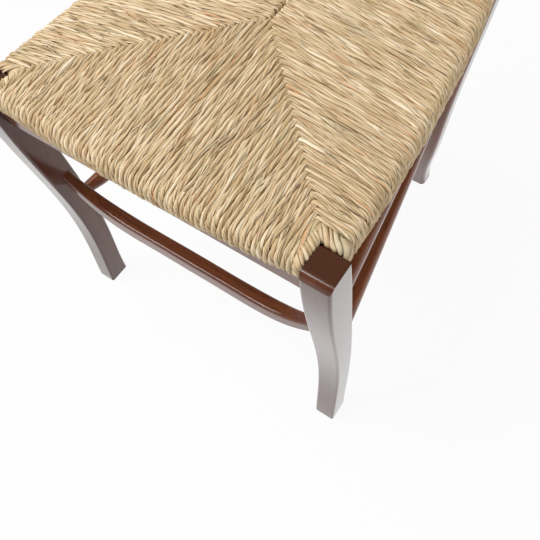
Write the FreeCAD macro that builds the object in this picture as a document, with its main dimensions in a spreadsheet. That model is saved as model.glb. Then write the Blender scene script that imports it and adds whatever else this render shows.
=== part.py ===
import FreeCAD, Part
import os
import Sketcher

# A ladderback dining chair: two sabre front legs, two bent back posts, round and shaped stretchers,
# four bowed slats, and a rush seat woven over four rails. Millimetres, +Z up, -Y is the chair's front.
# The origin lies on the floor, under the middle of the chair.

doc = FreeCAD.newDocument("LadderbackChair")
sheet = doc.addObject("Spreadsheet::Sheet", "Dims")

DIMENSIONS = [
    ("origin_to_front", 260.1, "from the origin forward to the front face of the leg tops"),
    ("fit_gap", 0.1, "clearance round a tenon in its mortise"),
    ("soft_gap", 0.3, "clearance between the rush or its packing and the wood"),
    # front legs: heights, and how far each section lies behind the front face of the leg top
    ("leg_top", 455, "height of the front legs"),
    ("leg_x_top", 203.6, "centre of a leg top, from the middle of the chair"),
    ("leg_x_foot", 214.2, "centre of a front foot, from the middle of the chair"),
    ("leg_wide_top", 31.8, "width of a leg at its top"),
    ("leg_wide_foot", 29.4, "width of a leg at its foot"),
    ("leg_round", 3, "rounding of the long edges of a leg"),
    ("leg_nose", 9.5, "rounding of the front top edge of a leg"),
    ("leg_back_foot", 32, "set-back of the foot's front face"),
    ("leg_deep_foot", 34.4, "depth of the foot"),
    ("ankle_height", 110, "height of the slimmest part of a leg"),
    ("leg_back_ankle", 36.2, "set-back there"),
    ("leg_deep_ankle", 31.2, "depth there"),
    ("leg_back_low", 30, "set-back at the lower stretchers"),
    ("leg_deep_low", 33.6, "depth there"),
    ("leg_back_high", 13.6, "set-back at the upper stretchers"),
    ("leg_deep_high", 38.2, "depth there"),
    ("leg_knee_height", 400, "height of the deepest part of a leg"),
    ("leg_back_knee", 3.6, "set-back there"),
    ("leg_deep_knee", 39.2, "depth there"),
    ("leg_deep_top", 34.4, "depth of the leg top"),
    # back posts: distances behind the front face of the leg tops
    ("post_top", 900, "height of the back posts"),
    ("post_y_foot", 500.6, "centre of a back foot"),
    ("post_deep_foot", 31, "depth of a back foot"),
    ("post_y_ankle", 470.4, "centre of a post at ankle height"),
    ("post_y_low", 453.6, "centre of a post at the lower stretchers"),
    ("post_y_high", 447.6, "centre of a post at the upper stretchers"),
    ("post_y_seat", 448, "centre of a post at the seat"),
    ("post_deep_seat", 34, "depth of a post at the seat"),
    ("post_deep_top", 26, "depth of a post at its top"),
    ("post_rake", 52, "how far the post's top leans back from its seat height"),
    ("post_x_foot", 130.6, "centre of a back foot, from the middle of the chair"),
    ("post_x_seat", 161.5, "centre of a post at the seat"),
    ("post_x_top", 184, "centre of a post's top"),
    ("post_wide_foot", 32, "width of a post at its foot"),
    ("post_wide_seat", 34, "width of a post at the seat"),
    ("post_wide_top", 27, "width of a post at its top"),
    ("post_round", 7.5, "rounding of the long edges of a post"),
    ("post_crown", 5, "rounding of a post's top"),
    # stretchers
    ("low_height", 218, "height of the lower side stretchers"),
    ("high_height", 326, "height of the upper side stretchers"),
    ("rear_height", 268, "height of the back stretcher"),
    ("rod_radius", 10.2, "radius of a round stretcher"),
    ("rod_end_radius", 7.6, "radius of its ends, in the legs"),
    ("rod_taper", 26, "length over which it tapers to its ends"),
    ("rod_tenon", 14, "length of a round tenon"),
    ("low_set_front", 4, "how far a lower side stretcher lies inward of the middle of its leg"),
    ("low_set_back", 7.5, "how far it lies inward of the middle of its post"),
    ("high_set_front", 5.5, "how far an upper side stretcher lies inward of the middle of its leg"),
    ("high_set_back", 8, "how far it lies inward of the middle of its post"),
    ("front_bar_top", 243, "top of the front stretcher"),
    ("front_bar_high", 24, "height of the front stretcher at its middle"),
    ("front_bar_deep", 19, "depth of the front stretcher at its middle"),
    ("front_bar_set", 38, "set-back of its front face"),
    ("front_bar_end_top", 283, "top of its swept-up ends"),
    ("front_bar_end_high", 20, "height of its swept-up ends"),
    ("front_bar_end_deep", 13, "depth of its swept-up ends"),
    ("front_bar_sweep", 96, "length of each swept-up end"),
    ("front_bar_round", 4, "rounding of its long edges"),
    ("tenon", 14, "length of a flat tenon"),
    # seat frame and rush
    ("rail_middle", 440, "height of the middle of the seat rails"),
    ("rail_high", 20, "height of a seat rail"),
    ("rail_deep", 20, "thickness of a seat rail"),
    ("rail_round", 6, "rounding of a seat rail's long edges"),
    ("rail_set_front", 24, "set-back of the middle of the front rail"),
    ("rail_set_side", 8, "how far a side rail lies inward of the middles of its leg and post"),
    ("rail_tenon_thick", 10, "thickness of a rail tenon"),
    ("rail_tenon_high", 15, "height of a rail tenon"),
    ("rail_tenon", 11, "length of a rail tenon"),
    ("shoulder_gap", 0.8, "clearance of a rail's shoulder, which the rush covers"),
    ("apron_set", 13, "set-back of the front apron"),
    ("apron_deep", 13, "thickness of the front apron"),
    ("apron_top", 424.4, "top of the front apron, just under the rush"),
    ("apron_high", 20.5, "height of the front apron"),
    ("apron_round", 2, "rounding of its long edges"),
    ("rush_bottom", 425, "underside of the rush at the rails"),
    ("rush_edge", 457, "top of the rush over the rails"),
    ("rush_crown", 462.5, "top of the crowned rush in the middle of the seat"),
    ("rush_crown_run", 130, "how far in from the rolled edge the crown rises"),
    ("rush_roll", 13.5, "rounding of the rush over the rails"),
    ("rush_front_corner", 10, "set-back of the rush at the front legs"),
    ("rush_front_bulge", 11, "how far its front edge swells forward"),
    ("rush_side_front", 213, "half width of the rush at the front"),
    ("rush_side_back", 172, "half width of the rush at the back"),
    ("rush_side_bulge", 12.5, "how far its side edges swell outward"),
    ("rush_back_over", 13, "reach of the rush behind the centre of a post"),
    ("packing_high", 15, "thickness of the packing"),
    ("packing_inset", 5, "distance of the packing from the rails"),
    # slats of the ladder back
    ("slat_thick", 10, "thickness of a slat"),
    ("slat_bow", 20, "how far a slat bows back"),
    ("slat_high", 44, "height of a plain slat at its ends"),
    ("slat_arch", 8, "how far the top edge of a slat arches up"),
    ("crest_high", 50, "height of the crest slat at its ends"),
    ("crest_arch", 14, "arch of the crest slat"),
    ("slat_round", 3.5, "rounding of a slat's edges"),
    ("slat_base", 480, "height from which the slats are evenly spaced up the posts"),
    ("crest_drop", 52, "how far the middle of the crest slat lies below the top of the posts"),
]
for row, (alias, value, note) in enumerate(DIMENSIONS, start=1):
    sheet.set(f"A{row}", note)
    sheet.set(f"B{row}", str(value))
    sheet.setAlias(f"B{row}", alias)
doc.recompute()


def dim(alias):
    """The expression that reads one dimension from the sheet."""
    return f"Dims.{alias}"


def value(expression):
    """The number that an expression over the sheet gives."""
    result = sheet.evalExpression(str(expression))
    return float(getattr(result, "Value", result))


def plane_of(body, role):
    for feature in body.Origin.OriginFeatures:
        if feature.Role == role:
            return feature
    raise ValueError(role)


def new_body(name):
    body = doc.addObject("PartDesign::Body", name)
    body.Label = name
    return body


def sketch_on(body, role, name, lift="0"):
    """An empty sketch on one of the body's own planes, lifted off it along its normal."""
    sketch = body.newObject("Sketcher::SketchObject", name)
    sketch.AttachmentSupport = [(plane_of(body, role), "")]
    sketch.MapMode = "FlatFace"
    sketch.setExpression(".AttachmentOffset.Base.z", str(lift))
    return sketch


def pin_point(sketch, geometry, end, u, v):
    """Holds one end of a line, or a point, at two expressions."""
    for kind, expression in (("DistanceX", u), ("DistanceY", v)):
        index = sketch.addConstraint(Sketcher.Constraint(kind, -1, 1, geometry, end, value(expression)))
        sketch.setExpression(f"Constraints[{index}]", str(expression))


def draw_outline(sketch, corners):
    """Draws a closed outline. A corner is (u, v), or (u, v, via_u, via_v) when an arc through the via
    point leads to it from the corner before. All four are expressions over the sheet."""
    points = [FreeCAD.Vector(value(c[0]), value(c[1]), 0) for c in corners]
    for index, corner in enumerate(corners):
        start, finish = points[index - 1], points[index]
        if len(corner) == 2:
            line = sketch.addGeometry(Part.LineSegment(start, finish))
            pin_point(sketch, line, 2, corner[0], corner[1])
            pin_point(sketch, line, 1, corners[index - 1][0], corners[index - 1][1])
            continue
        via = FreeCAD.Vector(value(corner[2]), value(corner[3]), 0)
        # an arc of a sketch runs anticlockwise, so a clockwise one is drawn from its far end
        forward = (via - start).cross(finish - via).z > 0
        arc = Part.ArcOfCircle(start, via, finish) if forward else Part.ArcOfCircle(finish, via, start)
        geometry = sketch.addGeometry(arc)
        first, last = (1, 2) if forward else (2, 1)
        pin_point(sketch, geometry, first, corners[index - 1][0], corners[index - 1][1])
        pin_point(sketch, geometry, last, corner[0], corner[1])
        marker = sketch.addGeometry(Part.Point(via), True)
        pin_point(sketch, marker, 1, corner[2], corner[3])
        sketch.addConstraint(Sketcher.Constraint("PointOnObject", marker, 1, geometry))


def rounded_rectangle(u, v, wide, high, radius):
    """Corners of a rectangle centred on (u, v) whose corners are quarter circles."""
    corners = []
    for su, sv, first in ((1, -1, "v"), (1, 1, "u"), (-1, 1, "v"), (-1, -1, "u")):
        edge_u = f"({u}) + {su} * ({wide}) / 2"
        edge_v = f"({v}) + {sv} * ({high}) / 2"
        in_u = f"{edge_u} - {su} * ({radius})"
        in_v = f"{edge_v} - {sv} * ({radius})"
        via_u = f"{in_u} + {su} * ({radius}) * sqrt(0.5)"
        via_v = f"{in_v} + {sv} * ({radius}) * sqrt(0.5)"
        on_v, on_u = (in_u, edge_v), (edge_u, in_v)
        start, finish = (on_v, on_u) if first == "v" else (on_u, on_v)
        corners += [start, (*finish, via_u, via_v)]
    return corners


def loft_through(body, sections, role="XY_Plane", suffix="loft"):
    """A smooth body through the rounded rectangles (u, v, wide, deep, radius, lift off the plane)."""
    sketches = []
    for number, (u, v, wide, deep, radius, lift) in enumerate(sections):
        sketch = sketch_on(body, role, f"{body.Name}_{suffix}_section_{number}", lift)
        draw_outline(sketch, rounded_rectangle(u, v, wide, deep, radius))
        sketches.append(sketch)
    loft = body.newObject("PartDesign::AdditiveLoft", f"{body.Name}_{suffix}")
    loft.Profile = sketches[0]
    loft.Sections = sketches[1:]
    return loft


def pad(body, sketch, length):
    """Pads a sketch by the same amount to both sides of its plane."""
    feature = body.newObject("PartDesign::Pad", f"{sketch.Name}_pad")
    feature.Profile = sketch
    feature.SideType = "Symmetric"
    feature.setExpression("Length", str(length))
    return feature


def pocket_through(body, sketch):
    """Cuts a sketch right through the body, to both sides of its plane."""
    feature = body.newObject("PartDesign::Pocket", f"{sketch.Name}_cut")
    feature.Profile = sketch
    feature.SideType = "Symmetric"
    feature.Length = 2000
    return feature


def fillet_where(body, base, radius, chosen):
    """Rounds the edges of a feature that the function chosen accepts."""
    doc.recompute()
    names = [f"Edge{i}" for i, edge in enumerate(base.Shape.Edges, start=1) if chosen(edge)]
    feature = body.newObject("PartDesign::Fillet", f"{base.Name}_round")
    feature.Base = (base, names)
    feature.setExpression("Radius", str(radius))
    return feature


def cut_from(label, base, tools):
    """The piece that is left of base when the tools are taken out of it, one after the other."""
    for number, tool in enumerate(tools, 1):
        piece = doc.addObject("Part::Cut", label if tool is tools[-1] else f"{label}_cut_{number}")
        piece.Refine = False
        piece.Base = base
        piece.Tool = tool
        base = piece
    piece.Label = label
    return piece


def behind(distance):
    """The Y of a point that lies this far behind the front face of the leg tops."""
    return f"({distance}) - {dim('origin_to_front')}"


# Front legs: sawn to a sabre curve, splayed a little outward, with a flat top whose front edge is a
# quarter round. The sections below run from the foot to the top.

def leg_x(height):
    rise = f"({height}) / {dim('leg_top')}"
    return f"({dim('leg_x_foot')} + ({dim('leg_x_top')} - {dim('leg_x_foot')}) * {rise})"


def leg_wide(height):
    rise = f"({height}) / {dim('leg_top')}"
    return f"({dim('leg_wide_foot')} + ({dim('leg_wide_top')} - {dim('leg_wide_foot')}) * {rise})"


def leg_middle(set_back, deep):
    return behind(f"{set_back} + ({deep}) / 2")


LEG_SECTIONS = [
    ("0", dim("leg_back_foot"), dim("leg_deep_foot")),
    (dim("ankle_height"), dim("leg_back_ankle"), dim("leg_deep_ankle")),
    (dim("low_height"), dim("leg_back_low"), dim("leg_deep_low")),
    (dim("high_height"), dim("leg_back_high"), dim("leg_deep_high")),
    (dim("leg_knee_height"), dim("leg_back_knee"), dim("leg_deep_knee")),
    (dim("leg_top"), "0", dim("leg_deep_top")),
]


def front_leg(name, side, grow="0"):
    body = new_body(name)
    sections = []
    for height, set_back, deep in LEG_SECTIONS:
        sections.append((
            f"{side} * {leg_x(height)}",
            leg_middle(set_back, deep),
            f"{leg_wide(height)} + 2 * {grow}",
            f"{deep} + 2 * {grow}",
            f"{dim('leg_round')} + {grow}",
            height,
        ))
    loft_through(body, sections)
    if grow != "0":
        return body
    nose = sketch_on(body, "YZ_Plane", f"{name}_nose")
    front, top, radius = behind("0"), dim("leg_top"), dim("leg_nose")
    draw_outline(nose, [
        (front, f"{top} - {radius}"),
        (f"{front} + {radius}", top,
         f"{front} + {radius} * (1 - sqrt(0.5))", f"{top} - {radius} * (1 - sqrt(0.5))"),
        (f"{front} + {radius}", f"{top} + 5"),
        (f"{front} - 5", f"{top} + 5"),
        (f"{front} - 5", f"{top} - {radius}"),
    ])
    pocket_through(body, nose)
    return body


# Back posts: their lower half kicks back to the foot and leans inward, and above the seat they rake
# back along a curve. They are well rounded, and a section lies at each joint.

def post_x(height):
    below = f"({height}) / {dim('rail_middle')}"
    above = f"(({height}) - {dim('rail_middle')}) / ({dim('post_top')} - {dim('rail_middle')})"
    lower = f"{dim('post_x_foot')} + ({dim('post_x_seat')} - {dim('post_x_foot')}) * {below}"
    upper = f"{dim('post_x_seat')} + ({dim('post_x_top')} - {dim('post_x_seat')}) * {above}"
    return f"(({height}) < {dim('rail_middle')} ? {lower} : {upper})"


def post_blend(height, foot, seat, top):
    """A size that runs evenly from foot to seat and from seat to top."""
    below = f"({height}) / {dim('rail_middle')}"
    above = f"(({height}) - {dim('rail_middle')}) / ({dim('post_top')} - {dim('rail_middle')})"
    lower = f"{dim(foot)} + ({dim(seat)} - {dim(foot)}) * {below}"
    upper = f"{dim(seat)} + ({dim(top)} - {dim(seat)}) * {above}"
    return f"(({height}) < {dim('rail_middle')} ? {lower} : {upper})"


def post_wide(height):
    return post_blend(height, "post_wide_foot", "post_wide_seat", "post_wide_top")


def post_deep(height):
    return post_blend(height, "post_deep_foot", "post_deep_seat", "post_deep_top")


def raked_y(height):
    """Where the middle of a post lies at a height above the seat."""
    rise = f"(({height}) - {dim('rail_middle')}) / ({dim('post_top')} - {dim('rail_middle')})"
    return behind(f"{dim('post_y_seat')} + {dim('post_rake')} * ({rise})^1.7")


def rake_slope(height):
    """How steeply a post leans back at a height above the seat."""
    rise = f"(({height}) - {dim('rail_middle')}) / ({dim('post_top')} - {dim('rail_middle')})"
    return f"1.7 * {dim('post_rake')} * ({rise})^0.7 / ({dim('post_top')} - {dim('rail_middle')})"


SLAT_COUNT = 4


def slat_height(number):
    climb = f"({dim('post_top')} - {dim('crest_drop')} - {dim('slat_base')})"
    return f"({dim('slat_base')} + {climb} * {number} / {SLAT_COUNT})"


def back_post(name, side, grow="0"):
    body = new_body(name)
    middles = [
        ("0", behind(dim("post_y_foot"))),
        (dim("ankle_height"), behind(dim("post_y_ankle"))),
        (dim("low_height"), behind(dim("post_y_low"))),
        (dim("high_height"), behind(dim("post_y_high"))),
        (dim("rail_middle"), behind(dim("post_y_seat"))),
    ]
    middles += [(slat_height(n), raked_y(slat_height(n))) for n in range(1, SLAT_COUNT + 1)]
    neck = f"({dim('post_top')} - {dim('post_crown')})"
    middles.append((neck, raked_y(neck)))

    def section(height, middle, shrink="0"):
        return (
            f"{side} * {post_x(height)}",
            middle,
            f"{post_wide(height)} + 2 * {grow} - 2 * {shrink}",
            f"{post_deep(height)} + 2 * {grow} - 2 * {shrink}",
            f"{dim('post_round')} + {grow} - {shrink}",
            height,
        )

    loft_through(body, [section(height, middle) for height, middle in middles])
    if grow != "0":
        return body
    crown = dim("post_crown")
    loft_through(body, [
        section(neck, raked_y(neck)),
        section(f"({neck} + 0.6 * {crown})", raked_y(f"({neck} + 0.6 * {crown})"), f"0.2 * {crown}"),
        section(dim("post_top"), raked_y(dim("post_top")), f"0.9 * {crown}"),
    ], suffix="crown")
    return body


# Round stretchers: straight rods whose ends taper to a tenon. Each is turned about X, then laid
# between the middles of the two legs it joins.

def rod(name, reach, grow="0"):
    """A rod along X, centred on its middle. Reach is half its length between the legs' middles."""
    body = new_body(name)
    half = f"({reach} + {grow})"
    thin = f"({dim('rod_end_radius')} + {grow})"
    thick = f"({dim('rod_radius')} + {grow})"
    shoulder = f"({reach} - {dim('rod_tenon')})"
    swell = f"({shoulder} - {dim('rod_taper')})"
    profile = sketch_on(body, "XZ_Plane", f"{name}_profile")
    draw_outline(profile, [
        (f"-{half}", "0"),
        (half, "0"),
        (half, thin),
        (shoulder, thin),
        (swell, thick),
        (f"-{swell}", thick),
        (f"-{shoulder}", thin),
        (f"-{half}", thin),
    ])
    turned = body.newObject("PartDesign::Revolution", f"{name}_turned")
    turned.Profile = profile
    turned.ReferenceAxis = (profile, ["H_Axis"])
    turned.Angle = 360
    return body


def lay_between(piece, x1, y1, x2, y2, height):
    """Lays a piece made along X on the level line between two points."""
    piece.Placement.Rotation = FreeCAD.Rotation(FreeCAD.Vector(0, 0, 1), 0)
    piece.setExpression(".Placement.Base.x", f"(({x1}) + ({x2})) / 2")
    piece.setExpression(".Placement.Base.y", f"(({y1}) + ({y2})) / 2")
    piece.setExpression(".Placement.Base.z", height)
    piece.setExpression(".Placement.Rotation.Angle", f"atan2(({y2}) - ({y1}); ({x2}) - ({x1}))")


def side_ends(level, side):
    """Where a side stretcher starts and ends: inside the leg's back face and the post's front."""
    height = dim(f"{level}_height")
    x1 = f"{side} * ({leg_x(height)} - {dim(f'{level}_set_front')})"
    x2 = f"{side} * ({post_x(height)} - {dim(f'{level}_set_back')})"
    y1 = behind(f"{dim(f'leg_back_{level}')} + {dim(f'leg_deep_{level}')} - {dim('rod_tenon')}")
    y2 = behind(f"{dim(f'post_y_{level}')} - {post_deep(height)} / 2 + {dim('rod_tenon')}")
    return x1, y1, x2, y2


def half_length(x1, y1, x2, y2):
    return f"sqrt((({x2}) - ({x1}))^2 + (({y2}) - ({y1}))^2) / 2"


def side_stretcher(name, level, side, grow="0"):
    ends = side_ends(level, side)
    body = rod(name, half_length(*ends), grow)
    lay_between(body, *ends, dim(f"{level}_height"))
    return body


def back_stretcher(name, grow="0"):
    height = dim("rear_height")
    reach = f"{post_x(height)} - {post_wide(height)} / 2 + {dim('rod_tenon')}"
    rise = f"(({height}) - {dim('low_height')}) / ({dim('high_height')} - {dim('low_height')})"
    body = rod(name, f"({reach})", grow)
    middle = f"{dim('post_y_low')} + ({dim('post_y_high')} - {dim('post_y_low')}) * {rise}"
    body.setExpression(".Placement.Base.y", behind(middle))
    body.setExpression(".Placement.Base.z", height)
    return body


# Front stretcher: a flat bar with eased edges. Its ends sweep up towards the legs and grow slimmer from
# the back, so they enter the legs inside their inner faces.

def front_stretcher(name, grow="0"):
    body = new_body(name)
    end_middle = f"({dim('front_bar_end_top')} - {dim('front_bar_end_high')} / 2)"
    inner = f"({leg_x(end_middle)} - {leg_wide(end_middle)} / 2)"
    top_climb = f"({dim('front_bar_end_top')} - {dim('front_bar_top')})"
    low = f"({dim('front_bar_top')} - {dim('front_bar_high')})"
    low_climb = f"({dim('front_bar_end_top')} - {dim('front_bar_end_high')} - {low})"
    bend = f"({inner} - {dim('front_bar_sweep')})"
    # how far along each section lies, and the share of the climb that the sweep has made there
    half_run = f"({bend} + {dim('front_bar_sweep')} / 2)"
    outer_end = f"({inner} + {dim('tenon')} + {grow})"
    right = [("0", 0), (bend, 0), (half_run, 0.22), (inner, 1), (outer_end, 1.26)]
    left = [(f"-{lift}", share) for lift, share in reversed(right[1:])]
    sections = []
    for lift, share in left + right:
        top = f"({dim('front_bar_top')} + {share} * {top_climb})"
        bottom = f"({low} + {share} * {low_climb})"
        slimmer = f"{min(share, 1)} * ({dim('front_bar_deep')} - {dim('front_bar_end_deep')})"
        sections.append((
            f"-({slimmer}) / 2",
            f"({top} + {bottom}) / 2",
            f"{dim('front_bar_deep')} - {slimmer} + 2 * {grow}",
            f"{top} - {bottom} + 2 * {grow}",
            f"{dim('front_bar_round')} + {grow}",
            lift,
        ))
    loft_through(body, sections, "YZ_Plane")
    body.setExpression(".Placement.Base.y", behind(f"{dim('front_bar_set')} + {dim('front_bar_deep')} / 2"))
    return body


# Seat frame: four rails with eased edges inside the rush. The front and back rails' tenons lie
# nearer the outside than the side rails' tenons, so they pass each other inside the legs.

def plain_bar(name, half, deep, high, radius):
    body = new_body(name)
    section = sketch_on(body, "YZ_Plane", f"{name}_section")
    draw_outline(section, rounded_rectangle("0", "0", deep, high, radius))
    pad(body, section, f"2 * ({half})")
    return body


def rail(name, half_inside, half_whole, tenon_shift, grow="0"):
    """A rail along X. Its thin tenons lie off its middle by tenon_shift."""
    body = plain_bar(name, half_inside, f"{dim('rail_deep')} + 2 * {grow}",
                     f"{dim('rail_high')} + 2 * {grow}", f"{dim('rail_round')} + {grow}")
    section = sketch_on(body, "YZ_Plane", f"{name}_tenon")
    draw_outline(section, rounded_rectangle(
        tenon_shift, "0", f"{dim('rail_tenon_thick')} + 2 * {grow}",
        f"{dim('rail_tenon_high')} + 2 * {grow}", "2"))
    pad(body, section, f"2 * ({half_whole} + {grow})")
    return body


def shoulder_at(end, gap, grow):
    """A rail's shoulder stops short of its leg, and the hollow for it in the rush runs on into the leg."""
    return f"({end} + 2)" if grow == SOFT else f"({end} - {gap} + {grow})"


def front_seat_rail(name, grow="0"):
    inner = f"({leg_x(dim('rail_middle'))} - {leg_wide(dim('rail_middle'))} / 2)"
    shift = f"({dim('rail_tenon_thick')} - {dim('rail_deep')}) / 2"
    shoulder = shoulder_at(inner, dim("shoulder_gap"), grow)
    body = rail(name, shoulder, f"({inner} + {dim('tenon')})", shift, grow)
    body.setExpression(".Placement.Base.y", behind(dim("rail_set_front")))
    body.setExpression(".Placement.Base.z", dim("rail_middle"))
    return body


def back_seat_rail(name, grow="0"):
    inner = f"({post_x(dim('rail_middle'))} - {post_wide(dim('rail_middle'))} / 2)"
    shift = f"({dim('rail_deep')} - {dim('rail_tenon_thick')}) / 2"
    shoulder = shoulder_at(inner, dim("shoulder_gap"), grow)
    body = rail(name, shoulder, f"({inner} + {dim('tenon')})", shift, grow)
    body.setExpression(".Placement.Base.y", behind(dim("post_y_seat")))
    body.setExpression(".Placement.Base.z", dim("rail_middle"))
    return body


def side_seat_rail(name, side, grow="0"):
    height = dim("rail_middle")
    up = f"(({height}) - {dim('leg_knee_height')}) / ({dim('leg_top')} - {dim('leg_knee_height')})"
    knee = f"{dim('leg_back_knee')} + {dim('leg_deep_knee')}"
    leg_face = f"(({knee}) + ({dim('leg_deep_top')} - ({knee})) * {up})"
    post_face = f"({dim('post_y_seat')} - {dim('post_deep_seat')} / 2)"
    x1, y1 = f"{side} * ({leg_x(height)} - {dim('rail_set_side')})", behind(leg_face)
    x2, y2 = f"{side} * ({post_x(height)} - {dim('rail_set_side')})", behind(post_face)
    half = half_length(x1, y1, x2, y2)
    shoulder = shoulder_at(half, f"3 * {dim('shoulder_gap')}", grow)
    body = rail(name, shoulder, f"({half} + {dim('rail_tenon')})", "0", grow)
    lay_between(body, x1, y1, x2, y2, height)
    return body


def front_apron(name, grow="0"):
    middle = f"({dim('apron_top')} - {dim('apron_high')} / 2)"
    half = f"({leg_x(middle)} - {leg_wide(middle)} / 2 + {dim('tenon')} + {grow})"
    body = plain_bar(name, half, f"{dim('apron_deep')} + 2 * {grow}",
                     f"{dim('apron_high')} + 2 * {grow}", f"{dim('apron_round')} + {grow}")
    body.setExpression(".Placement.Base.y", behind(f"{dim('apron_set')} + {dim('apron_deep')} / 2"))
    body.setExpression(".Placement.Base.z", middle)
    return body


# Slats: bent boards that bow back, each with an arched top edge, housed in the posts at both ends and
# leaning back as the posts do at that height.

def slat(name, number, grow="0"):
    body = new_body(name)
    crest = number == SLAT_COUNT
    high, arch = dim("crest_high" if crest else "slat_high"), dim("crest_arch" if crest else "slat_arch")
    height = slat_height(number)
    half = f"({post_x(height)} - {post_wide(height)} / 2 + {dim('tenon')})"
    end = f"({half} + {grow})"
    thick = f"({dim('slat_thick')} / 2 + {grow})"
    bow = dim("slat_bow")
    plan = sketch_on(body, "XY_Plane", f"{name}_plan")
    draw_outline(plan, [
        (f"-{end}", f"-{thick}"),
        (end, f"-{thick}", "0", f"{bow} - {thick}"),
        (end, thick),
        (f"-{end}", thick, "0", f"{bow} + {thick}"),
    ])
    board = pad(body, plan, f"{high} + 2 * {arch} + 2 * {grow}")
    top = sketch_on(body, "XZ_Plane", f"{name}_top")
    edge, peak = f"({high} / 2 + {grow})", f"({high} / 2 + {arch} + {grow})"
    draw_outline(top, [
        (f"-({end} + 5)", edge),
        (f"{end} + 5", edge, "0", peak),
        (f"{end} + 5", f"{peak} + 5"),
        (f"-({end} + 5)", f"{peak} + 5"),
    ])
    arched = pocket_through(body, top)
    foot = sketch_on(body, "XZ_Plane", f"{name}_foot")
    draw_outline(foot, [
        (f"-({end} + 5)", f"-{edge}"),
        (f"{end} + 5", f"-{edge}"),
        (f"{end} + 5", f"-({peak} + 5)"),
        (f"-({end} + 5)", f"-({peak} + 5)"),
    ])
    trimmed = pocket_through(body, foot)
    reach = value(end)
    fillet_where(body, trimmed, f"{dim('slat_round')} + {grow}", lambda edge: (
        edge.BoundBox.XLength > reach))
    body.Placement.Rotation = FreeCAD.Rotation(FreeCAD.Vector(-1, 0, 0), 0.001)
    body.setExpression(".Placement.Rotation.Angle", f"atan({rake_slope(height)})")
    body.setExpression(".Placement.Base.y", raked_y(height))
    body.setExpression(".Placement.Base.z", height)
    return body


# Rush seat: one crowned mat that wraps the four rails, rolled over its edges and drawn in towards the
# corners, with its packing inside.

def rush_section(inset):
    """The plan of the rush, drawn in all round by the inset: its front and sides swell outward."""
    front = behind(f"{dim('rush_front_corner')} + {inset}")
    back = behind(f"{dim('post_y_seat')} + {dim('rush_back_over')} - {inset}")
    wide, narrow = f"({dim('rush_side_front')} - {inset})", f"({dim('rush_side_back')} - {inset})"
    side_x = f"(({wide} + {narrow}) / 2 + {dim('rush_side_bulge')})"
    side_y = f"(({front}) + ({back})) / 2"
    return [
        (f"-{wide}", front, f"-{side_x}", side_y),
        (wide, front, "0", f"{front} - {dim('rush_front_bulge')}"),
        (narrow, back, side_x, side_y),
        (f"-{narrow}", back),
    ]


def rush_layer(body, word, levels):
    """A smooth solid through plans of the rush, given as (height, inset) from the lowest up."""
    sketches = []
    for number, (height, inset) in enumerate(levels):
        sketches.append(sketch_on(body, "XY_Plane", f"rush_{word}_{number}", height))
        draw_outline(sketches[-1], rush_section(inset))
    loft = body.newObject("PartDesign::AdditiveLoft", f"rush_{word}")
    loft.Profile = sketches[0]
    loft.Sections = sketches[1:]
    doc.recompute()


def rush_form():
    """The rolled edges that wrap the rails, and the crown that rises from them to the middle."""
    body = new_body("rush_block")
    roll, low, edge = dim("rush_roll"), dim("rush_bottom"), dim("rush_edge")
    turns = (90, 60, 30, 0)
    rolled = [
        (f"{low} + {roll} * (1 - sin({turn} deg))", f"{roll} * (1 - cos({turn} deg))")
        for turn in turns
    ] + [
        (f"{edge} - {roll} * (1 - sin({turn} deg))", f"{roll} * (1 - cos({turn} deg))")
        for turn in reversed(turns)
    ]
    rush_layer(body, "rolled", rolled)
    rush_layer(body, "crowned", [
        (f"{edge} + ({dim('rush_crown')} - {edge}) * {1 - (1 - share) ** 2}",
         f"({roll} + {dim('rush_crown_run')} * {share})")
        for share in (0, 0.25, 0.6, 1)
    ])
    return body


def seat_packing(name, grow="0"):
    body = new_body(name)
    plan = sketch_on(body, "XY_Plane", f"{name}_plan", dim("rail_middle"))
    clear = f"({dim('rail_deep')} / 2 + {dim('packing_inset')} - {grow})"
    front = behind(f"{dim('rail_set_front')} + {clear}")
    back = behind(f"{dim('post_y_seat')} - {clear}")
    height = dim("rail_middle")
    taper = f"({leg_x(height)} - {post_x(height)}) / ({dim('post_y_seat')} - {dim('rail_set_front')})"
    wide = f"({leg_x(height)} - {dim('rail_set_side')} - 1.1 * {clear} - {taper} * {clear})"
    narrow = f"({post_x(height)} - {dim('rail_set_side')} - 1.1 * {clear} + {taper} * {clear})"
    draw_outline(plan, [
        (f"-{wide}", front),
        (wide, front),
        (narrow, back),
        (f"-{narrow}", back),
    ])
    pad(body, plan, f"{dim('packing_high')} + 2 * {grow}")
    return body


# The assembly. Each member has a twin, larger by its clearance, that hollows out what it sits in.

FIT, SOFT = dim("fit_gap"), dim("soft_gap")
SIDES = (("left", -1), ("right", 1))

pieces = {}
leg_hollows = {side: [] for side, _ in SIDES}
post_hollows = {side: [] for side, _ in SIDES}
rush_hollows = []

pieces["front_seat_rail"] = front_seat_rail("front_seat_rail")
pieces["back_seat_rail"] = back_seat_rail("back_seat_rail")
pieces["front_apron"] = front_apron("front_apron")
pieces["front_stretcher"] = front_stretcher("front_stretcher")
pieces["back_stretcher"] = back_stretcher("back_stretcher")
pieces["seat_packing"] = seat_packing("seat_packing")
front_twins = [
    front_seat_rail("front_seat_rail_seat", FIT),
    front_apron("front_apron_seat", FIT),
    front_stretcher("front_stretcher_seat", FIT),
]
back_twins = [
    back_seat_rail("back_seat_rail_seat", FIT),
    back_stretcher("back_stretcher_seat", FIT),
]
rush_hollows += [
    front_seat_rail("front_seat_rail_wrap", SOFT),
    back_seat_rail("back_seat_rail_wrap", SOFT),
    seat_packing("seat_packing_wrap", SOFT),
]
for number in range(1, SLAT_COUNT + 1):
    pieces[f"slat_{number}"] = slat(f"slat_{number}", number)
    back_twins.append(slat(f"slat_{number}_seat", number, FIT))

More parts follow.
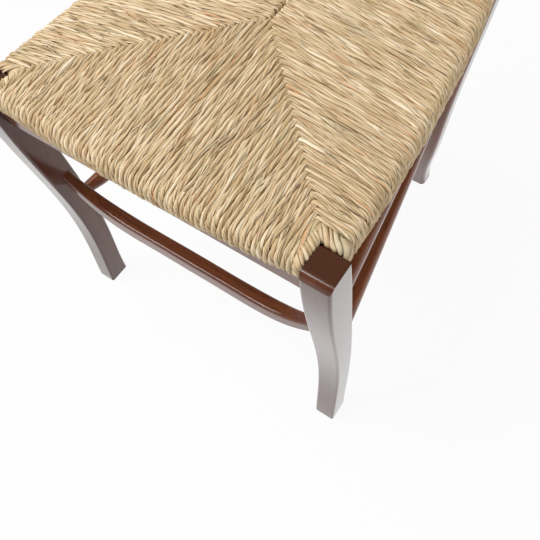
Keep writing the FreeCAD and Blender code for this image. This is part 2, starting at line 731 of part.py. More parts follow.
for side, sign in SIDES:
    leg_hollows[side] += front_twins
    post_hollows[side] += back_twins
    pieces[f"{side}_seat_rail"] = side_seat_rail(f"{side}_seat_rail", sign)
    rail_twin = side_seat_rail(f"{side}_seat_rail_seat", sign, FIT)
    leg_hollows[side].append(rail_twin)
    post_hollows[side].append(rail_twin)
    rush_hollows.append(side_seat_rail(f"{side}_seat_rail_wrap", sign, SOFT))
    for level, word in (("low", "lower"), ("high", "upper")):
        name = f"side_stretcher_{word}_{side}"
        pieces[name] = side_stretcher(name, level, sign)
        twin = side_stretcher(f"{name}_seat", level, sign, FIT)
        leg_hollows[side].append(twin)
        post_hollows[side].append(twin)
    pieces[f"front_leg_{side}"] = cut_from(
        f"front_leg_{side}", front_leg(f"front_leg_{side}_blank", sign), leg_hollows[side])
    pieces[f"back_post_{side}"] = cut_from(
        f"back_post_{side}", back_post(f"back_post_{side}_blank", sign), post_hollows[side])
    rush_hollows.append(front_leg(f"front_leg_{side}_wrap", sign, SOFT))
    rush_hollows.append(back_post(f"back_post_{side}_wrap", sign, SOFT))

pieces["rush_seat"] = cut_from("rush_seat", rush_form(), rush_hollows)

doc.recompute()

faults = [item.Name for item in doc.Objects if {"Invalid", "Error"} & set(item.State)]
if faults:
    raise RuntimeError(f"failed objects: {faults}")
for name, piece in pieces.items():
    shape = piece.Shape
    if shape.isNull() or not shape.isValid() or len(shape.Solids) != 1:
        raise RuntimeError(f"{name}: the shape is empty, broken or in several solids")

os.makedirs("parts", exist_ok=True)
for name, piece in pieces.items():
    piece.Shape.exportStep(f"parts/{name}.step")
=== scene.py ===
import math

import bmesh
import bpy
import numpy as np
from mathutils import Matrix, Vector


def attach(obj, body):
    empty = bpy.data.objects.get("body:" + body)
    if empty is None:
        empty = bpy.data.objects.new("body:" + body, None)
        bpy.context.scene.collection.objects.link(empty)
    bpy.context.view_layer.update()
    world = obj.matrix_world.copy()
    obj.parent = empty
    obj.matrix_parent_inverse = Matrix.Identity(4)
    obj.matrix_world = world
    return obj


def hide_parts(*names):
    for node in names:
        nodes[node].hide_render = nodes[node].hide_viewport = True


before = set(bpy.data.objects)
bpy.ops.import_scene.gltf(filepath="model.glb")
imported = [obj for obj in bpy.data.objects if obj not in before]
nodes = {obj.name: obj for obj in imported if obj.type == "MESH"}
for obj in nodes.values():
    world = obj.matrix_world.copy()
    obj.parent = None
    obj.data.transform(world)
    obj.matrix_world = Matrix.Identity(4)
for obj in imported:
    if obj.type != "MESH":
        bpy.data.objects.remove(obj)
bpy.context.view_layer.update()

scene = bpy.context.scene


# The studio: a pale floor that runs out of sight, one soft lamp high over the chair's left, a smaller
# one at its right and an even pale surround. The camera looks down on the seat's front right corner.

CAMERA_PLACE = (0.3133, -0.4566, 0.8861)
CAMERA_TURN, CAMERA_LIFT, CAMERA_ROLL = 37.91, 60.97, -4.64
FLOOR_REACH = 9
FLOOR_GLOW = 0.94
WALL_LOW, WALL_DROP = 0.86, 0.8

camera = bpy.data.objects.new("camera", bpy.data.cameras.new("camera"))
scene.collection.objects.link(camera)
camera.data.lens = 40.16
camera.data.sensor_width = 36
camera.data.clip_start = 0.01
camera.matrix_world = (
    Matrix.Translation(CAMERA_PLACE)
    @ Matrix.Rotation(math.radians(CAMERA_TURN), 4, "Z")
    @ Matrix.Rotation(math.radians(90 - CAMERA_LIFT), 4, "X")
    @ Matrix.Rotation(math.radians(CAMERA_ROLL), 4, "Z")
)
scene.camera = camera
scene.view_settings.view_transform = "Standard"


def new_material(name):
    """A material with only its output left, and that output."""
    made = bpy.data.materials.new(name)
    made.use_nodes = True
    made.node_tree.nodes.clear()
    return made, made.node_tree.nodes.new("ShaderNodeOutputMaterial")


class Value:
    """A socket of a material's nodes. Sums and products of values add the nodes that work them out."""

    def __init__(self, tree, socket):
        self.tree, self.socket = tree, socket

    def math(self, operation, *numbers):
        return add_node(
            self.tree, "ShaderNodeMath", {"operation": operation}, dict(enumerate(numbers)))

    def __add__(self, other):
        return self.math("ADD", self, other)

    def __sub__(self, other):
        return self.math("SUBTRACT", self, other)

    def __rsub__(self, other):
        return self.math("SUBTRACT", other, self)

    def __mul__(self, other):
        return self.math("MULTIPLY", self, other)

    def between(self, low, high):
        """0 below low, 1 above high, and smooth between them."""
        return add_node(
            self.tree, "ShaderNodeMapRange", {"interpolation_type": "SMOOTHSTEP"},
            {"Value": self, "From Min": low, "From Max": high},
        )


def add_node(tree, kind, settings=None, inputs=None, output=0):
    """Adds a node: first its settings, then a number, a colour or a Value for each socket named."""
    node = tree.nodes.new(kind)
    for name, setting in (settings or {}).items():
        if name == "stops":
            ramp = node.color_ramp
            while len(ramp.elements) < len(setting):
                ramp.elements.new(0.5)
            for element, (position, colour) in zip(ramp.elements, setting):
                element.position = position
                element.color = (*colour, 1)
        else:
            setattr(node, name, setting)
    for name, given in (inputs or {}).items():
        if isinstance(given, Value):
            tree.links.new(given.socket, node.inputs[name])
        else:
            node.inputs[name].default_value = given
    return Value(tree, node.outputs[output])


def srgb(red, green, blue):
    """A screen colour, 0 to 255, as the linear colour that a shader takes."""
    shares = [channel / 255 for channel in (red, green, blue)]
    return tuple(s / 12.92 if s <= 0.04045 else ((s + 0.055) / 1.055) ** 2.4 for s in shares)


def stops(*pairs):
    """A ramp's stops from (position, screen colour)."""
    return [(position, srgb(*colour)) for position, colour in pairs]


floor_material, floor_out = new_material("studio_floor")
tree = floor_material.node_tree
ground = add_node(tree, "ShaderNodeBsdfDiffuse", None, {"Color": (0.82, 0.82, 0.82, 1)})
glow = add_node(tree, "ShaderNodeEmission", None, {"Color": (1, 1, 1, 1), "Strength": 1.0})
seen = add_node(tree, "ShaderNodeLightPath", None, None, "Is Camera Ray")
mirrored = add_node(tree, "ShaderNodeLightPath", None, None, "Is Glossy Ray")
share = seen.math("MAXIMUM", seen, mirrored) * FLOOR_GLOW
white = add_node(tree, "ShaderNodeMixShader", None, {0: share, 1: ground, 2: glow})
tree.links.new(white.socket, floor_out.inputs["Surface"])

floor_mesh = bpy.data.meshes.new("floor")
floor_corners = [(x * FLOOR_REACH, y * FLOOR_REACH, 0) for x, y in ((-1, -1), (1, -1), (1, 1), (-1, 1))]
floor_mesh.from_pydata(floor_corners, [], [(0, 1, 2, 3)])
floor = bpy.data.objects.new("floor", floor_mesh)
floor.data.materials.append(floor_material)
scene.collection.objects.link(floor)

world = bpy.data.worlds.new("surround")
scene.world = world
world.use_nodes = True
tree = world.node_tree
tree.nodes.clear()
seen = add_node(tree, "ShaderNodeLightPath", None, None, "Is Camera Ray")
direction = add_node(tree, "ShaderNodeTexCoord", None, None, "Generated")
height = add_node(tree, "ShaderNodeSeparateXYZ", None, {0: direction}, "Z")
walls = WALL_LOW - height.between(0.1, 0.6) * WALL_DROP
shown = add_node(
    tree, "ShaderNodeMix", {"data_type": "FLOAT"}, {"Factor": seen, "A": walls, "B": 1.0})
surround = add_node(tree, "ShaderNodeBackground", None, {"Color": (1, 1, 1, 1), "Strength": shown})
world_out = tree.nodes.new("ShaderNodeOutputWorld")
tree.links.new(surround.socket, world_out.inputs["Surface"])


def soft_lamp(name, place, target, wide, deep, watts):
    lamp = bpy.data.objects.new(name, bpy.data.lights.new(name, "AREA"))
    lamp.data.shape = "RECTANGLE"
    lamp.data.size, lamp.data.size_y = wide, deep
    lamp.data.energy = watts
    lamp.location = place
    lamp.rotation_euler = (Vector(target) - Vector(place)).to_track_quat("-Z", "Y").to_euler()
    scene.collection.objects.link(lamp)


soft_lamp("lamp_over", (-1.3, -0.9, 2.7), (0, 0, 0.4), 1.7, 1.7, 80)
soft_lamp("lamp_side", (1.9, -0.3, 1.9), (0, 0, 0.4), 0.9, 1.2, 14)


# The wooden members: sawn and turned, stained walnut brown and sprayed with clear gloss lacquer. The
# front legs took the stain darker and the side rods paler. The grain and its small dark flecks run
# along each member, and the sawn top of a front leg shows its growth rings as fine lines.

WALNUT_STAIN = ((80, 39, 23), (112, 59, 35), (134, 78, 48))
DARKER_STAIN = ((60, 29, 18), (88, 46, 29), (110, 63, 41))
FRONT_LEG_TOP = 0.455
PALER_STAIN = ((92, 46, 26), (130, 72, 42), (156, 94, 58))


def wood_material(name, along, tones, end_grain_from=None):
    """Lacquered wood whose grain runs along one axis, from its dark to its pale tone. Above
    end_grain_from its upward faces show rings."""
    made, out = new_material(name)
    tree = made.node_tree
    place = add_node(tree, "ShaderNodeTexCoord", None, None, "Object")
    stretch = [1.0, 1.0, 1.0]
    stretch["xyz".index(along)] = 0.06
    fibres = add_node(
        tree, "ShaderNodeVectorMath", {"operation": "MULTIPLY"}, {0: place, 1: tuple(stretch)})
    clouds = add_node(tree, "ShaderNodeTexNoise", None, {
        "Vector": fibres, "Scale": 38.0, "Detail": 4.0, "Roughness": 0.6, "Distortion": 0.6}, "Fac")
    streaks = add_node(tree, "ShaderNodeTexNoise", None, {
        "Vector": fibres, "Scale": 260.0, "Detail": 3.0, "Roughness": 0.7}, "Fac")
    flecks = add_node(tree, "ShaderNodeTexNoise", None, {
        "Vector": fibres, "Scale": 900.0, "Detail": 2.0}, "Fac").between(0.60, 0.72)
    tone = clouds * 0.6 + streaks * 0.4
    stain = add_node(tree, "ShaderNodeValToRGB", {"stops": stops(
        (0.32, tones[0]), (0.52, tones[1]), (0.74, tones[2]))}, {0: tone}, "Color")
    colour = add_node(tree, "ShaderNodeMix", {"data_type": "RGBA"}, {
        "Factor": flecks * 0.5, 6: stain, 7: (*srgb(48, 25, 15), 1)}, 2)
    height = streaks * 0.5 + flecks * -0.4
    if end_grain_from:
        normal = add_node(tree, "ShaderNodeNewGeometry", None, None, "Normal")
        facing = add_node(tree, "ShaderNodeSeparateXYZ", None, {0: normal}, "Z").between(0.9, 0.98)
        level = add_node(tree, "ShaderNodeSeparateXYZ", None, {0: place}, "Z")
        top = facing * level.between(end_grain_from - 0.004, end_grain_from - 0.001)
        bend = add_node(tree, "ShaderNodeTexNoise", None, {
            "Vector": place, "Scale": 26.0, "Detail": 2.0}, "Fac")
        across = add_node(tree, "ShaderNodeSeparateXYZ", None, {0: place}, "Y")
        down = add_node(tree, "ShaderNodeSeparateXYZ", None, {0: place}, "X")
        years = across * 3600.0 + down * 500.0 + bend * 9.0
        rings = years.math("SINE", years) * 0.5 + 0.5
        pores = add_node(tree, "ShaderNodeTexNoise", None, {
            "Vector": place, "Scale": 1500.0, "Detail": 1.0}, "Fac")
        ends = add_node(tree, "ShaderNodeValToRGB", {"stops": stops(
            (0.1, (38, 19, 12)), (0.5, (66, 36, 24)), (0.9, (112, 70, 47)))},
            {0: rings * 0.75 + pores * 0.25}, "Color")
        colour = add_node(tree, "ShaderNodeMix", {"data_type": "RGBA"}, {
            "Factor": top, 6: colour, 7: ends}, 2)
        height = height * (1 - top) + rings * top * 0.7
    relief = add_node(tree, "ShaderNodeBump", None, {
        "Strength": 0.002, "Distance": 0.0002, "Height": height}, "Normal")
    sheen = clouds * 0.08 + 0.24
    surface = add_node(tree, "ShaderNodeBsdfPrincipled", None, {
        "Base Color": colour, "Roughness": sheen, "IOR": 1.25, "Normal": relief,
        "Coat Weight": 1.0, "Coat Roughness": 0.12, "Coat IOR": 1.42})
    tree.links.new(surface.socket, out.inputs["Surface"])
    return made


wood_upright = wood_material("lacquered_wood_upright", "z", WALNUT_STAIN)
wood_leg = wood_material(
    "lacquered_wood_front_leg", "z", DARKER_STAIN, end_grain_from=FRONT_LEG_TOP)
wood_across = wood_material("lacquered_wood_across", "x", WALNUT_STAIN)
wood_front_back = wood_material("lacquered_wood_front_to_back", "y", PALER_STAIN)


def finish(names, material):
    for name in names:
        member = nodes[name]
        member.data.materials.clear()
        member.data.materials.append(material)


finish(["front_leg_left", "front_leg_right"], wood_leg)
finish(["back_post_left", "back_post_right"], wood_upright)
finish(["front_apron", "front_stretcher", "back_stretcher", "front_seat_rail", "back_seat_rail",
        "slat_1", "slat_2", "slat_3", "slat_4"], wood_across)
finish(["left_seat_rail", "right_seat_rail", "side_stretcher_lower_left", "side_stretcher_lower_right",
        "side_stretcher_upper_left", "side_stretcher_upper_right"], wood_front_back)


# The rush seat: dried leaves twisted into cords, which pass over a rail, round it and back under the
# seat. Beside each leg and post a thick, steeply twisted rope closes the corner, and from there the cords
# of two neighbouring rails meet along a mitre, where the side cords tuck between the front or back ones.

rng = np.random.default_rng(74)
MM = 0.001
UP = np.array([0, 0, 1.0])
EDGE_TOP, EDGE_LOW, CROWN = 457.0, 425.0, 462.5
ROLL = 13.5
CROWN_RUN = 130.0
CORD_HALF_HIGH, ROPE_HALF_HIGH = 3.2, 4.4
CORD_LAY = (6, 16)
FRONT_HALF_WIDE, SIDE_HALF_WIDE = (2.8, 3.3), (3.0, 3.5)
FRONT_HAND, SIDE_HAND = -1, 1
PITCH_FRONT, PITCH_SIDE = 5.8, 6.3
FRONT_CORNER_Y, BACK_EDGE_Y = -250.1, 200.9
SIDE_FRONT_X, SIDE_BACK_X = 213.0, 172.0
FRONT_BULGE, SIDE_BULGE = 11.0, 12.5
ACROSS = (0.0, 0.27, 0.73)
LOBES = (0.64, 1.0, 1.04)


def front_edge(x):
    return FRONT_CORNER_Y - FRONT_BULGE * (1 - (x / SIDE_FRONT_X) ** 2)


def side_edge(y):
    share = (y - FRONT_CORNER_Y) / (BACK_EDGE_Y - FRONT_CORNER_Y)
    straight = SIDE_FRONT_X + (SIDE_BACK_X - SIDE_FRONT_X) * share
    return straight + SIDE_BULGE * 4 * share * (1 - share)


def crown(inward):
    """How far the top stands above its edge at this distance in from the edge."""
    run = np.clip((inward - ROLL) / CROWN_RUN, 0, 1)
    return (CROWN - EDGE_TOP) * (1 - (1 - run) ** 2)


def wander(along, reach, spread, rolls):
    """A smooth random line: a few long waves with phases of their own."""
    total = np.zeros_like(along)
    for wave in (1.0, 0.53, 0.27):
        total += wave * np.sin(2 * math.pi * along / (reach * wave) + rolls.uniform(0, 6.28))
    return spread * total / 1.8


def near_edge(inward):
    """1 at the edge of the seat, fading inward."""
    return np.exp(-(inward / 13) ** 2)


def wrapped_path(inner, half, ending):
    """A cord's centre line in the plane square to its rail, from its upper end out, round the rail and
    back below: distances in from the edge, heights, and the direction that faces out of the seat."""
    far = np.arange(inner, 30.0, -3.6)
    close = np.arange(min(inner, 30.0), ROLL, -1.7)
    top = np.concatenate([far, close])
    turn = np.linspace(0, math.pi / 2, 11)
    flat = np.linspace(EDGE_TOP - ROLL, EDGE_LOW + ROLL, 4)[1:-1]
    lower_turn = turn[::2]
    low = np.arange(ROLL, inner, 6.5)[1:]
    inward = np.concatenate([
        top, ROLL - (ROLL - half) * np.sin(turn), np.full(len(flat), half),
        ROLL - (ROLL - half) * np.cos(lower_turn), low, [inner]])
    height = np.concatenate([
        EDGE_TOP - half + crown(top),
        EDGE_TOP - ROLL + (ROLL - half) * np.cos(turn),
        flat,
        EDGE_LOW + ROLL - (ROLL - half) * np.sin(lower_turn),
        np.full(len(low) + 1, EDGE_LOW + half)])
    facing = np.concatenate([
        np.full(len(top), math.pi / 2), math.pi / 2 + turn, np.full(len(flat), math.pi),
        math.pi + lower_turn, np.full(len(low) + 1, 1.5 * math.pi)])
    upper = np.arange(len(inward)) < len(top)
    end = inner - inward
    dive = ending["dive"] * np.clip(1 - end / ending["run"], 0, 1) ** 1.5
    height = height - np.where(upper, dive, 0)
    rise = 5 * np.clip((inward - inner + 8) / 8, 0, 1) ** 1.5
    height = height + np.where(upper, 0, rise)
    bend = np.where(upper, np.clip(1 - end / 10, 0, 1) ** 2, 0)
    return inward, height, facing, bend


class Bundle:
    """Cords gathered into one mesh, with where each point lies on its leaf."""

    def __init__(self):
        self.points, self.faces, self.leaf = [], [], []
        self.count = 0

    def cord(self, centre, facing, sideways, half_wide, half_high, lay, hand, rolls,
             leaves, swelling, tip):
        """Adds one cord: leaves wound about the centre line, with the lay in degrees at each ring."""
        steps = np.linalg.norm(np.diff(centre, axis=0), axis=1)
        along = np.concatenate([[0], np.cumsum(steps)])
        rings, columns = len(along), leaves * len(ACROSS)
        rate = np.tan(np.radians(lay)) / np.sqrt(half_wide * half_high)
        wound = np.concatenate([[0], np.cumsum((rate[1:] + rate[:-1]) / 2 * steps)])
        spin = hand * wound + rolls.uniform(0, 6.28) + wander(along, 70, 0.3, rolls)
        widths = rolls.dirichlet(np.full(leaves, 4.0)) * 0.8 + 0.2 / leaves
        starts = np.concatenate([[0], np.cumsum(widths)[:-1]])
        reach = np.empty((rings, columns))
        angle = np.empty((rings, columns))
        for leaf in range(leaves):
            swell = 1 + wander(along, 34, swelling, rolls) + rolls.normal(0, swelling / 2)
            slant = rolls.choice([-1, 1]) * rolls.uniform(0.04, 0.2)
            for slot, (across, lobe) in enumerate(zip(ACROSS, LOBES)):
                column = leaf * len(ACROSS) + slot
                tilt = 1 + slant * (across - 0.5)
                reach[:, column] = lobe * tilt * (swell if slot else 1)
                angle[:, column] = 2 * math.pi * (starts[leaf] + across * widths[leaf]) + spin
        taper = np.clip(np.minimum(along, along[-1] - along) / tip, 0.22, 1) ** 0.5
        wide = (half_wide * taper)[:, None] * reach * np.cos(angle)
        high = (half_high * taper)[:, None] * reach * np.sin(angle)
        points = (centre[:, None, :] + wide[..., None] * sideways
                  + high[..., None] * facing[:, None, :])
        index = self.count + np.arange(rings * columns).reshape(rings, columns)
        a, d = index[:-1], index[1:]
        b, c = np.roll(a, -1, axis=1), np.roll(d, -1, axis=1)
        self.points.append(points.reshape(-1, 3))
        self.faces.append(np.stack([a, b, c, d], axis=-1).reshape(-1, 4))
        edge = np.tile(np.array(ACROSS), leaves)
        edge_next = np.append(edge[1:], 0.0)
        edge_next[edge_next == 0] = 1.0
        tint = np.repeat(rolls.uniform(0, 1, leaves), len(ACROSS))
        start, end = along[:-1, None] * MM, along[1:, None] * MM
        zeros = np.zeros((rings - 1, columns))
        corners = [
            (start + zeros, edge + zeros), (start + zeros, edge_next + zeros),
            (end + zeros, edge_next + zeros), (end + zeros, edge + zeros)]
        leaf = np.stack([np.stack([s, e, tint + zeros], axis=-1) for s, e in corners], axis=2)
        self.leaf.append(leaf.reshape(-1, 3))
        self.count += rings * columns

    def piece(self, name, material):
        points = np.concatenate(self.points) * MM
        faces = np.concatenate(self.faces)
        mesh = bpy.data.meshes.new(name)
        mesh.vertices.add(len(points))
        mesh.vertices.foreach_set("co", points.astype(np.float32).ravel())
        mesh.loops.add(faces.size)
        mesh.loops.foreach_set("vertex_index", faces.astype(np.int32).ravel())
        mesh.polygons.add(len(faces))
        mesh.polygons.foreach_set("loop_start", np.arange(0, faces.size, 4, dtype=np.int32))
        mesh.polygons.foreach_set("use_smooth", np.ones(len(faces), bool))
        mesh.update(calc_edges=True)
        mesh.validate()
        leaf = mesh.attributes.new("leaf", "FLOAT_VECTOR", "CORNER")
        leaf.data.foreach_set("vector", np.concatenate(self.leaf).astype(np.float32).ravel())
        mesh.materials.append(material)
        made = bpy.data.objects.new(name, mesh)
        scene.collection.objects.link(made)
        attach(made, "root")
        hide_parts("rush_seat")


def rush_material():
    made, out = new_material("twisted_rush")
    tree = made.node_tree
    leaf = add_node(tree, "ShaderNodeAttribute", {"attribute_name": "leaf"}, None, "Vector")
    along = add_node(tree, "ShaderNodeSeparateXYZ", None, {0: leaf}, "X")
    across = add_node(tree, "ShaderNodeSeparateXYZ", None, {0: leaf}, "Y")
    tint = add_node(tree, "ShaderNodeSeparateXYZ", None, {0: leaf}, "Z")

    def strands(lengthwise, crosswise, seed, detail=2.0):
        at = add_node(tree, "ShaderNodeCombineXYZ", None, {
            0: along * lengthwise, 1: across * crosswise, 2: tint * seed})
        return add_node(tree, "ShaderNodeTexNoise", None, {
            "Vector": at, "Scale": 1.0, "Detail": detail, "Roughness": 0.55}, "Fac")

    shade = strands(16.0, 0.5, 97.0)
    lines = strands(22.0, 6.0, 53.0)
    blotch = strands(9.0, 0.8, 211.0)
    straw = add_node(tree, "ShaderNodeValToRGB", {"stops": stops(
        (0.30, STRAW_DEEP), (0.43, STRAW_DULL), (0.55, STRAW_FAIR), (0.70, STRAW_PALE))},
        {0: shade * 0.72 + lines * 0.28}, "Color")
    green = add_node(tree, "ShaderNodeMix", {"data_type": "RGBA"}, {
        "Factor": blotch.between(0.55, 0.70) * 0.6, 6: straw, 7: (*srgb(*STRAW_GREEN), 1)}, 2)
    rusty = add_node(tree, "ShaderNodeMix", {"data_type": "RGBA"}, {
        "Factor": (1 - blotch).between(0.61, 0.74) * 0.65, 6: green,
        7: (*srgb(*STRAW_RUSTY), 1)}, 2)
    # Painted shade: each leaf's edges, down in the creases between leaves and cords, are mixed far toward
    # a near-black brown.
    middle = across - 0.5
    clear_of_painted_shade = (1 - middle.math("ABSOLUTE", middle) * 2.0).between(0.0, 0.24)
    shaded = add_node(tree, "ShaderNodeMix", {"data_type": "RGBA"}, {
        "Factor": (1 - clear_of_painted_shade) * 0.88, 6: rusty, 7: (*srgb(*STRAW_PAINTED_SHADE), 1)}, 2)
    relief = add_node(tree, "ShaderNodeBump", None, {
        "Strength": 0.5, "Distance": 0.0006, "Height": lines}, "Normal")
    surface = add_node(tree, "ShaderNodeBsdfPrincipled", None, {
        "Base Color": shaded, "Roughness": lines * 0.25 + 0.42, "IOR": 1.4, "Normal": relief})
    tree.links.new(surface.socket, out.inputs["Surface"])
    return made


STRAW_DEEP, STRAW_DULL = (176, 143, 101), (212, 183, 140)
STRAW_FAIR, STRAW_PALE = (234, 210, 172), (252, 236, 207)
# The last of these, a near-black brown, is painted shade for the creases between leaves.
STRAW_GREEN, STRAW_RUSTY, STRAW_PAINTED_SHADE = (200, 188, 148), (206, 146, 96), (66, 45, 26)
rush = rush_material()
UNDER = {"dive": 3.6, "run": 6.0}
OVER = {"dive": 6.5, "run": 3.6}


def rail_axes(rail, place):
    """Where a place along a rail's edge lies, and the directions inward and along the rail."""
    if rail in ("front", "back"):
        edge, inward = (front_edge(place), 1.0) if rail == "front" else (BACK_EDGE_Y, -1.0)
        return np.array([place, edge, 0]), np.array([0, inward, 0]), np.array([1.0, 0, 0])
    side = 1.0 if rail == "right" else -1.0
    return np.array([side * side_edge(place), place, 0]), np.array([-side, 0, 0]), np.array([0, 1.0, 0])


def lay_cord(bundle, rail, place, inner, ending, hook, hand, lay, half_wide, rolls):
    """Lays one cord over a rail: front, back, left or right, at its place along the rail. Its upper end
    bends sideways by the hook."""
    origin, inward_axis, sideways = rail_axes(rail, place)
    inward, height, facing, bend = wrapped_path(inner, CORD_HALF_HIGH, ending)
    along = np.concatenate([[0], np.cumsum(np.hypot(np.diff(inward), np.diff(height)))])
    drift = wander(along, 85, 0.55, rolls) + hook * bend
    lift = wander(along, 45, 0.3, rolls) + rolls.normal(0, 0.2)
    normal = np.cos(facing)[:, None] * inward_axis + np.sin(facing)[:, None] * UP
    centre = (origin + inward[:, None] * inward_axis + height[:, None] * UP + drift[:, None] * sideways
              + lift[:, None] * normal)
    edge = near_edge(inward)
    wide = half_wide * (1 + wander(along, 50, 0.09, rolls) - 0.07 * edge)
    bundle.cord(centre, normal, sideways, wide, np.full_like(wide, CORD_HALF_HIGH),
                lay * (1 + 1.6 * edge), hand, rolls, rolls.integers(4, 7), 0.13, 2.5)


def lay_rope(bundle, rail, place, inner, hook, hand, lay, half_wide, half_high, rolls):
    """Lays the thick rope that closes a corner. Its upper end narrows and bends sideways by the hook."""
    origin, inward_axis, sideways = rail_axes(rail, place)
    inward, height, facing, _ = wrapped_path(inner, half_high, {"dive": 2.5, "run": 5.0})
    length = np.concatenate([[0], np.cumsum(np.hypot(np.diff(inward), np.diff(height)))])
    fine = np.linspace(0, length[-1], int(length[-1] / 1.3))
    inward, height, facing = (np.interp(fine, length, line) for line in (inward, height, facing))
    normal = np.cos(facing)[:, None] * inward_axis + np.sin(facing)[:, None] * UP
    bend = hook * np.clip(1 - fine / 22, 0, 1)
    centre = origin + inward[:, None] * inward_axis + height[:, None] * UP + bend[:, None] * sideways
    bundle.cord(centre, normal, sideways, np.full_like(fine, half_wide), np.full_like(fine, half_high),
                np.full_like(fine, lay), hand, rolls, 4, 0.11, 17.0)


def lay_leaf(bundle, rail, place, start, length, slant, rolls):
    """Lays a loose flat leaf on top of the cords of a rail, starting this far in from the edge. Both its
    tips tuck down between the cords."""
    origin, inward_axis, sideways = rail_axes(rail, place)
    run = np.linspace(0, 1, 12)
    inward = start + run * length
    tucked = 2.6 * np.abs(2 * run - 1) ** 3
    height = EDGE_TOP + crown(inward) - 0.1 - tucked + wander(run, 0.8, 0.25, rolls)
    turn = np.clip((ROLL - inward) / ROLL, 0, 1)
    height = height - ROLL * (1 - np.sqrt(1 - turn ** 2))
    drift = slant * (run - 0.5) * length + wander(run, 1.3, 0.8, rolls)
    centre = origin + inward[:, None] * inward_axis + height[:, None] * UP + drift[:, None] * sideways
    wide = np.full(12, rolls.uniform(0.9, 2.0))
    tilt = np.radians(rolls.normal(0, 22))
    normal = np.tile(UP * math.cos(tilt) + sideways * math.sin(tilt), (12, 1))
    flat = sideways * math.cos(tilt) - UP * math.sin(tilt)
    bundle.cord(centre, normal, flat, wide, np.full(12, 0.42), np.full(12, 0.01), 1, rolls, 1, 0.1,
                0.4 * length)


# where the weave starts, beside the inner corner of a front leg and of a back post
FRONT_LEG_X, FRONT_LEG_Y = 187.7, -222.0
BACK_POST_X, BACK_POST_Y = 145.0, 171.0
MITRE_GAP = 1.2
FRONT_CORDS, BACK_CORDS, SIDE_CORDS = 61, 45, 58
FRONT_TUCK, SIDE_TUCK = 4.5, 1.8
FRONT_HOOK, SIDE_HOOK = 2.2, 2.6
ROPE_WIDE, SIDE_ROPE_WIDE = 13.4, 15.6
ROPE_LAY, SIDE_ROPE_LAY = 58, 50
ROPE_HOOK, SIDE_ROPE_HOOK = 5.0, 6.0
ROPE_TUCK = 18
front_places = (np.arange(FRONT_CORDS) - FRONT_CORDS // 2) * PITCH_FRONT
back_places = (np.arange(BACK_CORDS) - BACK_CORDS // 2) * PITCH_FRONT
side_places = FRONT_LEG_Y + SIDE_ROPE_WIDE + (np.arange(SIDE_CORDS) + 0.35) * PITCH_SIDE


def front_mitre(x):
    """The Y at which a front cord meets the side cords."""
    return FRONT_LEG_Y - MITRE_GAP + (FRONT_LEG_X - abs(x)) * PITCH_SIDE / PITCH_FRONT


def back_mitre(x):
    return BACK_POST_Y + MITRE_GAP - (BACK_POST_X - abs(x)) * PITCH_SIDE / PITCH_FRONT


def outer_end(y):
    """How far from the middle of the chair a side cord ends, at whichever mitre it meets."""
    slope = PITCH_FRONT / PITCH_SIDE
    at_front = FRONT_LEG_X - (y - FRONT_LEG_Y + MITRE_GAP) * slope
    at_back = BACK_POST_X - (BACK_POST_Y + MITRE_GAP - y) * slope
    return max(at_front, at_back, 1.0)


def depth_at(rail, x):
    """How far the front or back cord at x runs in from the edge to its mitre."""
    return front_mitre(x) - front_edge(x) if rail == "front" else BACK_EDGE_Y - back_mitre(x)


def some_leaves(bundle, rail, count, slant):
    """Strews loose leaves over the cords of a rail, where the weave is deep enough to hold them."""
    for _ in range(count):
        length = rng.uniform(18, 58)
        if rail in ("front", "back"):
            place = rng.uniform(-165, 165) if rail == "front" else rng.uniform(-125, 125)
            deep = depth_at(rail, place)
        else:
            place = rng.uniform(-195, 150)
            deep = side_edge(place) - outer_end(place)
        if deep > length + 8:
            lay_leaf(bundle, rail, place, rng.uniform(4, deep - length - 2), length,
                     slant * rng.uniform(0.05, 0.25), rng)


front_cords, back_cords = Bundle(), Bundle()
side_cords = {"left": Bundle(), "right": Bundle()}
for rail, bundle, places in (
        ("front", front_cords, front_places), ("back", back_cords, back_places)):
    for x in places:
        lay_cord(bundle, rail, x, depth_at(rail, x) + FRONT_TUCK, UNDER,
                 math.copysign(FRONT_HOOK, x), FRONT_HAND, rng.uniform(*CORD_LAY),
                 rng.uniform(*FRONT_HALF_WIDE), rng)
for rail, bundle in side_cords.items():
    for y in side_places:
        hook = -SIDE_HOOK if y < -4 else SIDE_HOOK
        lay_cord(bundle, rail, y, side_edge(y) - outer_end(y) + SIDE_TUCK, OVER, hook, SIDE_HAND,
                 rng.uniform(*CORD_LAY), rng.uniform(*SIDE_HALF_WIDE), rng)
for side, rail in ((1, "right"), (-1, "left")):
    for bundle, along_rail, corner_x, corner_y, away in (
            (front_cords, "front", FRONT_LEG_X, FRONT_LEG_Y, 1),
            (back_cords, "back", BACK_POST_X, BACK_POST_Y, -1)):
        x = side * (corner_x - 0.3 - ROPE_WIDE / 2)
        depth = corner_y - front_edge(x) if away == 1 else BACK_EDGE_Y - corner_y
        lay_rope(bundle, along_rail, x, depth + ROPE_TUCK, -side * ROPE_HOOK, FRONT_HAND, ROPE_LAY,
                 ROPE_WIDE / 2, ROPE_HALF_HIGH, rng)
        y = corner_y + away * (SIDE_ROPE_WIDE / 2 - 0.4)
        lay_rope(side_cords[rail], rail, y, side_edge(y) - corner_x + ROPE_TUCK,
                 away * SIDE_ROPE_HOOK, SIDE_HAND, SIDE_ROPE_LAY, SIDE_ROPE_WIDE / 2,
                 ROPE_HALF_HIGH, rng)
for bundle, rail, count, slant in (
        (front_cords, "front", 70, 1), (back_cords, "back", 45, 1),
        (side_cords["left"], "left", 60, -1), (side_cords["right"], "right", 60, 1)):
    some_leaves(bundle, rail, count, slant)

front_cords.piece("rush_cords_front", rush)
back_cords.piece("rush_cords_back", rush)
side_cords["left"].piece("rush_cords_left", rush)
side_cords["right"].piece("rush_cords_right", rush)


# The packing: loose dry straw stuffed between the upper and lower cords, which gives the seat its crown.
# It shows only as a dark fill in the gaps between the cords.

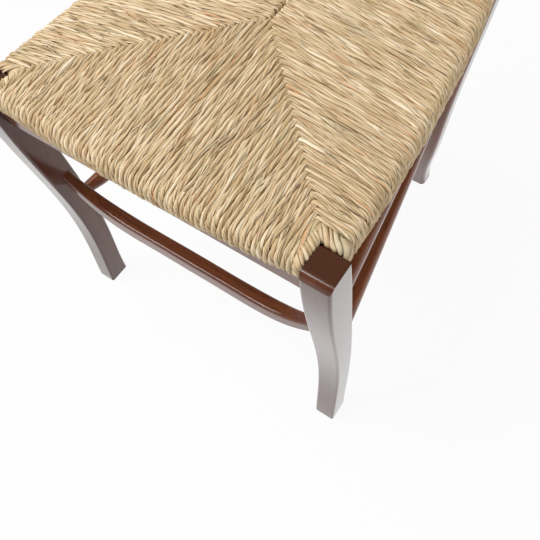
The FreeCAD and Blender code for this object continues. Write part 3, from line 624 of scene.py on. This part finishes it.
def packing_outline(inset):
    across = np.linspace(-1, 1, 41)
    front = [(x * (SIDE_FRONT_X - inset - 26), front_edge(x * SIDE_FRONT_X) + inset) for x in across]
    side_y = np.linspace(FRONT_CORNER_Y + inset + 34, BACK_EDGE_Y - inset - 34, 41)
    right = [(side_edge(y) - inset, y) for y in side_y]
    back = [(x * (SIDE_BACK_X - inset - 24), BACK_EDGE_Y - inset) for x in -across]
    left = [(-(side_edge(y) - inset), y) for y in side_y[::-1]]
    return front + right + back + left


# the packing's heights, and how far in from the edge of the seat it lies at each
levels = [(432.5, 26), (432.5, 21), (434, 19), (442, 18), (448, 19), (449.5, 23),
          (450.5, 40), (452.4, 80), (453.5, 120), (453.8, 150)]
packing = bmesh.new()
loops = []
for height, inset in levels:
    loops.append([
        packing.verts.new((x * MM, y * MM, height * MM)) for x, y in packing_outline(inset)])
for lower, upper in zip(loops, loops[1:]):
    for i in range(len(lower)):
        j = (i + 1) % len(lower)
        packing.faces.new((lower[i], lower[j], upper[j], upper[i]))
packing.faces.new(loops[0][::-1])
packing.faces.new(loops[-1])
packing_mesh = bpy.data.meshes.new("seat_packing_straw")
packing.to_mesh(packing_mesh)
packing.free()

packing_material, out = new_material("packing_straw")
tree = packing_material.node_tree
place = add_node(tree, "ShaderNodeTexCoord", None, None, "Object")
tangle = add_node(tree, "ShaderNodeTexNoise", None, {
    "Vector": place, "Scale": 320.0, "Detail": 4.0, "Distortion": 2.5}, "Fac")
dry = add_node(tree, "ShaderNodeValToRGB", {"stops": stops(
    (0.3, (70, 54, 32)), (0.55, (118, 94, 58)), (0.75, (150, 124, 84)))}, {0: tangle}, "Color")
relief = add_node(tree, "ShaderNodeBump", None, {
    "Strength": 0.8, "Distance": 0.001, "Height": tangle}, "Normal")
surface = add_node(tree, "ShaderNodeBsdfPrincipled", None, {
    "Base Color": dry, "Roughness": 0.85, "Normal": relief})
tree.links.new(surface.socket, out.inputs["Surface"])

straw_packing = bpy.data.objects.new("seat_packing_straw", packing_mesh)
straw_packing.data.materials.append(packing_material)
scene.collection.objects.link(straw_packing)
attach(straw_packing, "root")
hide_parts("seat_packing")
